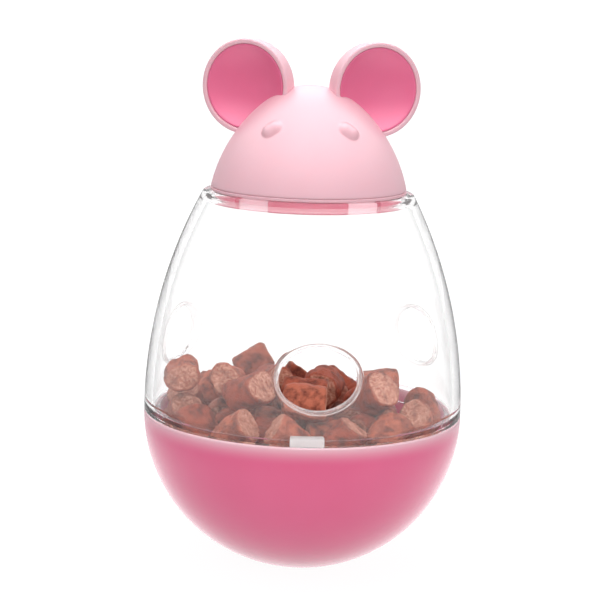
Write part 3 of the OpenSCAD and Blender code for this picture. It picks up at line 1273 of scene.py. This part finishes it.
    def _place_ring(
        self,
        ring: dict[bmesh.types.BMVert, float],
        azimuth: float,
        step: tuple[float, float],
    ) -> None:
        """Moves a ring's vertices to a margin and a distance outside the shell."""
        for vert, turn in ring.items():
            vert.co = self._on_wall(azimuth, turn, *step)

    def _ring_edges(self, ring: dict[bmesh.types.BMVert, float]) -> list[bmesh.types.BMEdge]:
        """Lists the edges that run round a ring."""
        edges = {e for v in ring for e in v.link_edges if e.other_vert(v) in ring}
        return list(edges)

    def _extend(
        self,
        bm: bmesh.types.BMesh,
        ring: dict[bmesh.types.BMVert, float],
        azimuth: float,
        step: tuple[float, float],
    ) -> dict[bmesh.types.BMVert, float]:
        """Extrudes a ring to the next one of the bead.

        Args:
            bm: the shell's mesh.
            ring: the vertices of the open ring, with their directions.
            azimuth: direction of the port.
            step: margin of the next ring and its distance outside the shell.

        Returns:
            The new ring.
        """
        made = bmesh.ops.extrude_edge_only(bm, edges=self._ring_edges(ring))["geom"]
        fresh: dict[bmesh.types.BMVert, float] = {}
        for vert in (g for g in made if isinstance(g, bmesh.types.BMVert)):
            old = next(v for v in (e.other_vert(vert) for e in vert.link_edges) if v in ring)
            fresh[vert] = ring[old]
        self._place_ring(fresh, azimuth, step)
        return fresh

    def _mark_rims(self, bm: bmesh.types.BMesh) -> None:
        """Gives the lip and neck the second material and the ports' beads the third.

        Args:
            bm: the shell's mesh.
        """
        low = self.rim_ledges * self.ledge_h
        top = self.datum.neck_z - self.datum.seam_z - self.neck_bore_h
        for face in bm.faces:
            at = face.calc_center_median()
            up = at.z - self.datum.seam_z
            radius = math.hypot(at.x, at.y)
            faces = (self.reach(up), self.reach(up, -self.wall))
            if not low < up < top:
                face.material_index = 1
            elif min(abs(radius - r) for r in faces) > self.flank_tolerance:
                face.material_index = 2

    def _key(self, finishes: Finishes) -> None:
        """Builds the frosted locating key at the front, which takes in a stretch of the ledge.

        Args:
            finishes: the shared materials.
        """
        d = self.datum
        low = d.seam_z + self.face_gap
        back = self.lip_out_r - self.lip_wall + self.key_in
        front = back + self.lip_wall + self.wall / 2
        angle = 2 * math.degrees(math.asin(self.key_w / (2 * d.belly_r)))
        high = d.seam_z + self.key_h
        outline = Outline().corner(back, low).corner(front, low)
        outline.corner(front, high, fillet=0.6).corner(back, high, fillet=0.3)
        bm = bmesh.new()
        start = self.key_turn - 90 - angle / 2
        revolve(bm, outline, self.key_steps, ring=True, start=start, sweep=angle)
        seat(publish(bm, "locating_key", [finishes.frosted]), "shell", "clear_plastic")

    def build(self, finishes: Finishes) -> None:
        """Builds the shell and its key.

        Args:
            finishes: the shared materials.
        """
        bm = bmesh.new()
        revolve(bm, self._outline(), self.steps, ring=True)
        for i in range(self.port_count):
            self._cut_port(bm, math.radians(self.port_turn - 90 + i * 360 / self.port_count))
        self._mark_rims(bm)
        glass = [finishes.clear, finishes.clear_rim, finishes.clear_bead]
        shell = publish(bm, "egg_shell", glass)
        # Clear plastic would otherwise keep the lamps' light from the treats.
        shell.visible_shadow = False
        seat(shell, "shell", "clear_plastic", "clear_shell")
        self._key(finishes)


@dataclass
class PlugRing:
    """Ring that plugs the neck, with grip tabs and the spigot that the head turns on."""

    datum: Datum
    skirt_in_r: float = 17.69
    skirt_r: float = 19.89
    tab_r: float = 20.89
    tab_count: int = 5
    tab_angle: float = 48.0
    tab_top_gap: float = 0.2
    flange_gap: float = 0.1
    flange_t: float = 0.66
    spigot_in_r: float = 16.68
    spigot_r: float = 18.08
    snap_r: float = 18.68
    snap_up: float = 2.4
    snap_h: float = 1.0
    tab_steps: int = 24
    steps: int = 144

    def _outline(self) -> Outline:
        """Draws the ring's half section.

        Returns:
            The closed outline: skirt, flange, spigot and snap bead.
        """
        d = self.datum
        flange = d.neck_z + self.flange_gap
        snap = d.brim_z + self.snap_up
        outline = Outline().corner(self.skirt_in_r, d.plug_z, fillet=0.3)
        outline.corner(self.skirt_r, d.plug_z, fillet=0.5).corner(self.skirt_r, flange, fillet=0.15)
        outline.corner(d.brim_r, flange, fillet=0.12)
        outline.corner(d.brim_r, flange + self.flange_t, fillet=0.2)
        outline.corner(self.spigot_r, flange + self.flange_t, fillet=0.15)
        outline.corner(self.spigot_r, snap, fillet=0.15).corner(self.snap_r, snap, fillet=0.3)
        outline.corner(self.snap_r, snap + self.snap_h, fillet=0.4)
        outline.corner(self.spigot_in_r, snap + self.snap_h, fillet=0.3)
        outline.corner(self.spigot_in_r, flange, fillet=0.2)
        return outline.corner(self.skirt_in_r, flange, fillet=0.15)

    def _tab(self) -> Outline:
        """Draws the section of a grip tab, which is rooted in the skirt.

        Returns:
            The closed outline.
        """
        d = self.datum
        root = (self.skirt_in_r + self.skirt_r) / 2
        top = d.neck_z - self.tab_top_gap
        outline = Outline().corner(root, d.plug_z).corner(self.tab_r, d.plug_z, fillet=0.8)
        return outline.corner(self.tab_r, top, fillet=0.25).corner(root, top)

    def build(self, finishes: Finishes) -> None:
        """Builds the ring.

        Args:
            finishes: the shared materials.
        """
        bm = bmesh.new()
        # The skirt and flange take the pale copy of the ring's pink, which is painted light.
        revolve(bm, self._outline(), self.steps, ring=True, material=1)
        for i in range(self.tab_count):
            start = -90 - self.tab_angle / 2 + i * 360 / self.tab_count
            revolve(
                bm, self._tab(), self.tab_steps, ring=True, start=start, sweep=self.tab_angle
            )
        # The spigot inside the head takes the tabs' darker pink, which is painted shade.
        for face in bm.faces:
            if face.calc_center_median().z > self.datum.brim_z:
                face.material_index = 0
        ring = publish(bm, "plug_ring_tabs", [finishes.tab_painted_shade_pink, finishes.skirt_painted_light_pink])
        seat(ring, "plug", "deep_pink_plastic", "plug_ring")


@dataclass
class HeadDome:
    """Hollow mouse head with its moulded eyes and the seat that turns on the plug ring."""

    datum: Datum
    brim_lean: float = 12.0
    flank_r: float = 33.5
    crown_r: float = 15.6
    wall: float = 2.0
    seat_in_r: float = 18.28
    seat_h: float = 2.2
    eye_level: float = 0.61
    eye_turn: float = 33.0
    eye_l: float = 5.6
    eye_w: float = 4.4
    eye_proud: float = 1.1
    eye_droop: float = 45.0
    eye_fillet: float = 0.12
    eye_room: float = 0.95
    eye_reach: float = 1.9
    eye_fade: float = 2.5
    eye_cuts: int = 3
    brim_ease: float = 1.4
    arc_ease: float = 1.0
    crown_chords: int = 26
    flank_chords: int = 34
    steps: int = 144

    @property
    def flank_centre(self) -> tuple[float, float]:
        """Radius and height of the flank arc's centre."""
        lean = math.radians(self.brim_lean)
        return (
            self.datum.brim_r - self.flank_r * math.cos(lean),
            self.datum.brim_z - self.flank_r * math.sin(lean),
        )

    @property
    def crown_z(self) -> float:
        """Height of the crown's centre, from which it meets the flank smoothly."""
        x, z = self.flank_centre
        return z + math.sqrt((self.flank_r - self.crown_r) ** 2 - x**2)

    def _side(self, outline: Outline, inset: float, low_angle: float, down: bool) -> None:
        """Adds the crown and flank arcs to an outline.

        Args:
            outline: the outline to extend.
            inset: distance inside the outer face.
            low_angle: angle at which the flank's arc ends, near the brim.
            down: True from the crown to the brim, False from the brim to the crown.
        """
        x, z = self.flank_centre
        meet = math.degrees(math.atan2(self.crown_z - z, -x))
        crown = ((0.0, self.crown_z), self.crown_r - inset)
        flank = ((x, z), self.flank_r - inset)
        if down:
            outline.arc(*crown, 90, meet, self.crown_chords)
            outline.arc(*flank, meet - self.arc_ease, low_angle, self.flank_chords)
        else:
            outline.arc(*flank, low_angle, meet - self.arc_ease, self.flank_chords)
            outline.arc(*crown, meet, 90, self.crown_chords)

    def _outline(self) -> Outline:
        """Draws the head's half section as a shell.

        Returns:
            The outline from the outer top, round the brim, to the inner top.
        """
        d = self.datum
        x, z = self.flank_centre
        inner_r = self.flank_r - self.wall
        seat_top = d.brim_z + self.seat_h
        outline = Outline()
        self._side(outline, 0.0, self.brim_lean + self.brim_ease, down=True)
        outline.corner(d.brim_r, d.brim_z, fillet=0.45)
        outline.corner(self.seat_in_r, d.brim_z, fillet=0.25)
        outline.corner(self.seat_in_r, seat_top, fillet=0.25)
        seat_angle = math.degrees(math.asin((seat_top - z) / inner_r))
        outline.corner(x + inner_r * math.cos(math.radians(seat_angle)), seat_top, fillet=0.2)
        self._side(outline, self.wall, seat_angle + self.arc_ease, down=False)
        return outline

    def core(self, inset: float) -> bpy.types.Object:
        """Makes the closed solid inside the head's outer face, to trim the ears.

        Args:
            inset: distance inside the outer face.

        Returns:
            The solid, in metres.
        """
        outline = Outline()
        self._side(outline, inset, self.brim_lean, down=True)
        outline.corner(0, self.datum.brim_z)
        bm = bmesh.new()
        revolve(bm, outline, self.steps, ring=False)
        return publish(bm, "head_core", [])

    def _raise_eye(self, bm: bmesh.types.BMesh, side: Side) -> None:
        """Raises one eye as a long round bump in the head's outer face.

        Args:
            bm: the head's mesh.
            side: the side of the face.
        """
        x, z = self.flank_centre
        height = self.crown_z + self.crown_r - self.datum.brim_z
        slope = math.asin((self.datum.brim_z + self.eye_level * height - z) / self.flank_r)
        turn = Matrix.Rotation(math.radians(side.value * self.eye_turn), 3, "Z")
        front = turn @ Vector((0, -1, 0))
        across = turn @ Vector((side.value, 0, 0))
        up_slope = -front * math.sin(slope) + Vector((0, 0, math.cos(slope)))
        out = front * math.cos(slope) + Vector((0, 0, math.sin(slope)))
        centre = front * (x + self.flank_r * math.cos(slope))
        centre.z = z + self.flank_r * math.sin(slope)
        droop = math.radians(self.eye_droop)
        axis = across * math.cos(droop) - up_slope * math.sin(droop)
        over = axis.cross(out)
        near = [f for f in bm.faces if self._is_near(f.calc_center_median(), centre, out)]
        edges = {e for f in near for e in f.edges}
        bmesh.ops.subdivide_edges(bm, edges=list(edges), cuts=self.eye_cuts, use_grid_fill=True)
        ball = self.eye_w / 2
        for vert in bm.verts:
            if not self._is_near(vert.co, centre, out):
                continue
            self._to_flank(vert)
            away = vert.co - centre
            past = max(abs(away.dot(axis)) - (self.eye_l - self.eye_w) / 2, 0.0)
            spread = math.hypot(past, away.dot(over))
            sunk = ball - self.eye_proud
            rise = math.sqrt(ball**2 - spread**2) - sunk if spread < ball else -sunk
            rise = (rise + math.hypot(rise, self.eye_fillet)) / 2
            fade = max(0.0, 1 - spread / (self.eye_reach * ball))
            vert.co += out * rise * min(1.0, self.eye_fade * fade)

    def _is_near(self, point: Vector, centre: Vector, out: Vector) -> bool:
        """Tells if a point of the outer face lies close enough to an eye to move with it."""
        away = point - centre
        return away.length < self.eye_room * self.eye_l and abs(away.dot(out)) < self.wall / 2

    def _to_flank(self, vert: bmesh.types.BMVert) -> None:
        """Moves a vertex out to the flank's arc at its height.

        Args:
            vert: the vertex.
        """
        x, z = self.flank_centre
        wanted = x + math.sqrt(self.flank_r**2 - (vert.co.z - z) ** 2)
        grow = wanted / math.hypot(vert.co.x, vert.co.y)
        vert.co.x *= grow
        vert.co.y *= grow

    def build(self, finishes: Finishes) -> None:
        """Builds the head.

        Args:
            finishes: the shared materials.
        """
        bm = bmesh.new()
        revolve(bm, self._outline(), self.steps, ring=False)
        for side in Side:
            self._raise_eye(bm, side)
        head = publish(bm, "mouse_head", [finishes.pale_pink])
        seat(head, "head", "pale_pink_plastic", "head_dome")


@dataclass
class Ears:
    """The two round ears with their dished liners."""

    head: HeadDome
    angle: float = 45.0
    off: float = 5.5
    front: float = 1.0
    splay: float = 24.0
    radius: float = 10.5
    thickness: float = 6.0
    back_round: float = 3.0
    rim_w: float = 1.2
    dish_depth: float = 3.4
    liner_t: float = 0.9
    gap: float = 0.06
    root: float = 0.6
    hollow_ease: float = 0.5
    liner_ease: float = 1.6
    liner_edge: float = 0.22
    dish_chords: int = 26
    hollow_chords: int = 22
    back_chords: int = 14
    steps: int = 96

    def _place(self, side: Side) -> Matrix:
        """Gives the place of an ear drawn about Z with its rim upwards.

        Args:
            side: the side of the head.

        Returns:
            The ear's matrix in millimetres.
        """
        reach = self.head.crown_r + self.off
        lean = math.radians(self.angle)
        at = Vector(
            (
                side.value * reach * math.sin(lean),
                -self.front,
                self.head.crown_z + reach * math.cos(lean),
            )
        )
        splay = Matrix.Rotation(math.radians(side.value * self.splay), 4, "Z")
        return Matrix.Translation(at) @ splay @ Matrix.Rotation(math.radians(90), 4, "X")

    def _dish(self) -> tuple[float, tuple[float, float], float]:
        """Works out the dish.

        Returns:
            Its edge radius, the centre of its arc and the arc's radius.
        """
        edge = self.radius - self.rim_w
        arc_r = (edge**2 + self.dish_depth**2) / (2 * self.dish_depth)
        return edge, (0.0, arc_r - self.dish_depth), arc_r

    def _cup(self) -> Outline:
        """Draws an ear's half section.

        Returns:
            The outline from the bottom of the ear's hollow to the middle of its back.
        """
        edge, centre, arc_r = self._dish()
        hollow_r = arc_r + self.liner_t + self.gap
        hollow_edge = edge + self.gap
        end = -math.degrees(math.acos(hollow_edge / hollow_r))
        back = -self.thickness
        low_end = end - self.hollow_ease
        outline = Outline().arc(centre, hollow_r, -90, low_end, self.hollow_chords)
        outline.corner(hollow_edge, centre[1] + hollow_r * math.sin(math.radians(end)), fillet=0.1)
        outline.corner(hollow_edge, 0, fillet=0.42).corner(self.radius, 0, fillet=0.95)
        round_at = (self.radius - self.back_round, back + self.back_round)
        outline.arc(round_at, self.back_round, 0, -90, self.back_chords)
        return outline.corner(0, back)

    def _liner(self) -> Outline:
        """Draws a liner's half section.

        Returns:
            The outline from the liner's front face to its back.
        """
        edge, centre, arc_r = self._dish()
        back_r = arc_r + self.liner_t
        end = -math.degrees(math.acos(edge / arc_r))
        back_end = -math.degrees(math.acos(edge / back_r))
        edge_z = centre[1] + arc_r * math.sin(math.radians(end)) - self.liner_edge
        outline = Outline().arc(centre, arc_r, -90, end - self.liner_ease, self.dish_chords)
        outline.corner(edge, edge_z, fillet=0.12)
        outline.corner(edge, centre[1] + back_r * math.sin(math.radians(back_end)), fillet=0.12)
        back_start = back_end - self.liner_ease
        return outline.arc(centre, back_r, back_start, -90, self.hollow_chords)

    def _turned(
        self, outline: Outline, side: Side, name: str, material: bpy.types.Material
    ) -> bpy.types.Object:
        """Makes one turned piece of an ear in its place.

        Args:
            outline: its half section.
            side: the side of the head.
            name: its name.
            material: its finish.

        Returns:
            The piece.
        """
        bm = bmesh.new()
        revolve(bm, outline, self.steps, ring=False)
        bmesh.ops.transform(bm, matrix=self._place(side), verts=bm.verts)
        return publish(bm, name, [material])

    def build(self, finishes: Finishes) -> None:
        """Builds both ears and trims them to the head.

        Args:
            finishes: the shared materials.
        """
        core = self.head.core(self.root)
        for side in Side:
            word = side.name.lower()
            cup = self._turned(self._cup(), side, f"ear_cup_{word}", finishes.pale_pink)
            liner = self._turned(self._liner(), side, f"ear_dish_{word}", finishes.deep_pink)
            for piece in (cup, liner):
                trim(piece, core)
            seat(cup, "head", "pale_pink_plastic", f"ear_{word}")
            seat(liner, "head", "deep_pink_plastic", f"ear_liner_{word}")
        bpy.data.objects.remove(core)


@dataclass(frozen=True)
class Lamp:
    """A square soft lamp that looks at a point, in metres and watts."""

    name: str
    place: tuple[float, float, float]
    target: tuple[float, float, float]
    size: float
    watts: float

    def hang(self) -> None:
        """Adds the lamp to the scene, where nothing mirrors it."""
        data = bpy.data.lights.new(self.name, "AREA")
        data.shape = "SQUARE"
        data.size = self.size
        data.energy = self.watts
        lamp = bpy.data.objects.new(self.name, data)
        aim = Vector(self.target) - Vector(self.place)
        lamp.rotation_euler = aim.to_track_quat("-Z", "Y").to_euler()
        lamp.location = self.place
        lamp.visible_glossy = False
        bpy.context.scene.collection.objects.link(lamp)


@dataclass(frozen=True)
class Studio:
    """White studio: a plain floor, soft lamps and a white surround."""

    floor_size: float = 4.0
    floor_colour: Rgb = (205, 205, 205)
    floor_white: float = 0.86
    shadow_reach: Span = (0.04, 0.12)
    backdrop: float = 1.12
    floor_mirrored: float = 1.9
    mirror_reach: Span = (0.07, 0.2)
    surround: float = 0.62
    room: Span = (0.25, 0.7)
    room_span: Span = (-0.6, 0.6)
    mirrored_top: float = 7.5
    top_span: Span = (0.3, 1.0)
    lamps: tuple[Lamp, ...] = (
        Lamp("overhead", place=(0.0, -0.04, 0.62), target=(0.0, 0.0, 0.08), size=0.46, watts=1.1),
        Lamp("front_left", place=(-0.4, -0.6, 0.7), target=(0.0, 0.0, 0.06), size=0.5, watts=0.6),
        Lamp("front_fill", place=(0.22, -0.75, 0.18), target=(0.0, 0.0, 0.06), size=0.6, watts=1.85),
    )

    def _world(self) -> None:
        """Makes the white surround.

        Mirrored in the toy it is darker on the camera's side, as a room is, with a soft
        light overhead.
        """
        world = bpy.data.worlds.new("white_surround")
        bpy.context.scene.world = world
        tree = NodeTree(world)
        place = tree.add("TexCoord").outputs["Generated"]
        split = tree.add("SeparateXYZ", {"Vector": place})
        rays = tree.add("LightPath")
        around = tree.spread(split.outputs["Y"], *self.room, self.room_span)
        above = tree.spread(split.outputs["Z"], 0.0, self.mirrored_top, self.top_span)
        mirrored = tree.compute("ADD", around, above)
        level = tree.spread(rays.outputs["Is Glossy Ray"], self.surround, mirrored)
        level = tree.spread(tree.seen("Is Transmission Ray"), level, self.backdrop)
        white = tree.add("Background", {"Color": (1.0, 1.0, 1.0, 1.0), "Strength": level})
        tree.add("OutputWorld", {"Surface": white.outputs["Background"]})

    def _floor(self) -> None:
        """Lays the floor, which keeps a faint shadow and is mirrored only near the toy."""
        sheet = Sheet("white_floor")
        rays = sheet.add("LightPath")
        far = sheet.add("VectorMath", {0: sheet.place()}, operation="LENGTH").outputs["Value"]
        white = sheet.spread(far, self.floor_white, 1.0, self.shadow_reach)
        seen = sheet.seen("Is Glossy Ray", "Is Transmission Ray")
        mirrored = sheet.spread(far, self.floor_mirrored, self.room[0], self.mirror_reach)
        # A ray that went through the shell counts as glossy too, and sees the plain floor.
        turned_back = sheet.compute(
            "SUBTRACT",
            rays.outputs["Is Glossy Ray"],
            rays.outputs["Is Transmission Ray"],
            clamp=True,
        )
        level = sheet.spread(turned_back, self.backdrop, mirrored)
        share = sheet.compute("MULTIPLY", seen, white)
        matt = sheet.add("BsdfDiffuse", {"Color": linear(self.floor_colour)}).outputs["BSDF"]
        glow = sheet.add("Emission", {"Strength": level}).outputs["Emission"]
        mix = sheet.add("MixShader", {"Fac": share, 1: matt, 2: glow})
        sheet.add("OutputMaterial", {"Surface": mix.outputs["Shader"]})
        bm = bmesh.new()
        bmesh.ops.create_grid(bm, x_segments=1, y_segments=1, size=self.floor_size / 2 / MM)
        publish(bm, "floor", [sheet.material])

    def build(self) -> None:
        """Builds the surround, the floor and the lamps, and sets the plain view transform."""
        self._world()
        self._floor()
        for lamp in self.lamps:
            lamp.hang()
        bpy.context.scene.view_settings.view_transform = "Standard"


@dataclass(frozen=True)
class PhotoCamera:
    """Camera at the photograph's viewing angle, in metres, degrees and pixels."""

    target: tuple[float, float, float] = (0.0, 0.0, 0.06)
    distance: float = 0.41727
    elevation: float = 10.157
    roll: float = 1.68
    focal_pixels: float = 1844.6
    picture_pixels: float = 600.0
    target_pixel: tuple[float, float] = (305.35, 303.23)
    sensor: float = 36.0
    near: float = 0.01

    def build(self) -> None:
        """Adds the camera and makes it the scene's own."""
        data = bpy.data.cameras.new("photo_camera")
        data.sensor_width = self.sensor
        data.lens = self.focal_pixels / self.picture_pixels * self.sensor
        half = self.picture_pixels / 2
        data.shift_x = (half - self.target_pixel[0]) / self.picture_pixels
        data.shift_y = (self.target_pixel[1] - half) / self.picture_pixels
        data.clip_start = self.near
        camera = bpy.data.objects.new("photo_camera", data)
        raised = math.radians(self.elevation)
        back = Vector((0, -math.cos(raised), math.sin(raised)))
        place = Vector(self.target) + back * self.distance
        look = Matrix.Rotation(math.radians(90 - self.elevation), 4, "X")
        tilt = Matrix.Rotation(math.radians(self.roll), 4, "Z")
        camera.matrix_world = Matrix.Translation(place) @ look @ tilt
        bpy.context.scene.collection.objects.link(camera)
        bpy.context.scene.camera = camera


def dress_hidden(nodes: dict[str, bpy.types.Object], finishes: Finishes) -> None:
    """Gives the two CAD nodes that keep their own shapes their materials.

    Args:
        nodes: the frame's CAD nodes by name.
        finishes: the shared materials.
    """
    for name, material in (
        ("counterweight", finishes.cast),
        ("false_floor", finishes.deep_pink),
    ):
        slots = nodes[name].data.materials
        slots.clear()
        slots.append(material)
        LOG.info("%s keeps its CAD shape", name)


def main() -> None:
    """Loads the frame, builds every piece around it, and lights it."""
    logging.basicConfig(level=logging.INFO)
    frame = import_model()
    datum = Datum.from_frame()
    PhotoCamera().build()
    Studio().build()
    finishes = Finishes.make(datum.seam_z * MM)
    dress_hidden(frame["nodes"], finishes)
    head = HeadDome(datum)
    heap = TreatHeap(frame["nodes"]["treats"])
    for assembly in (Bowl(datum), heap, ClearShell(datum), PlugRing(datum), head):
        assembly.build(finishes)
    Ears(head).build(finishes)


if __name__ == "__main__":
    main()
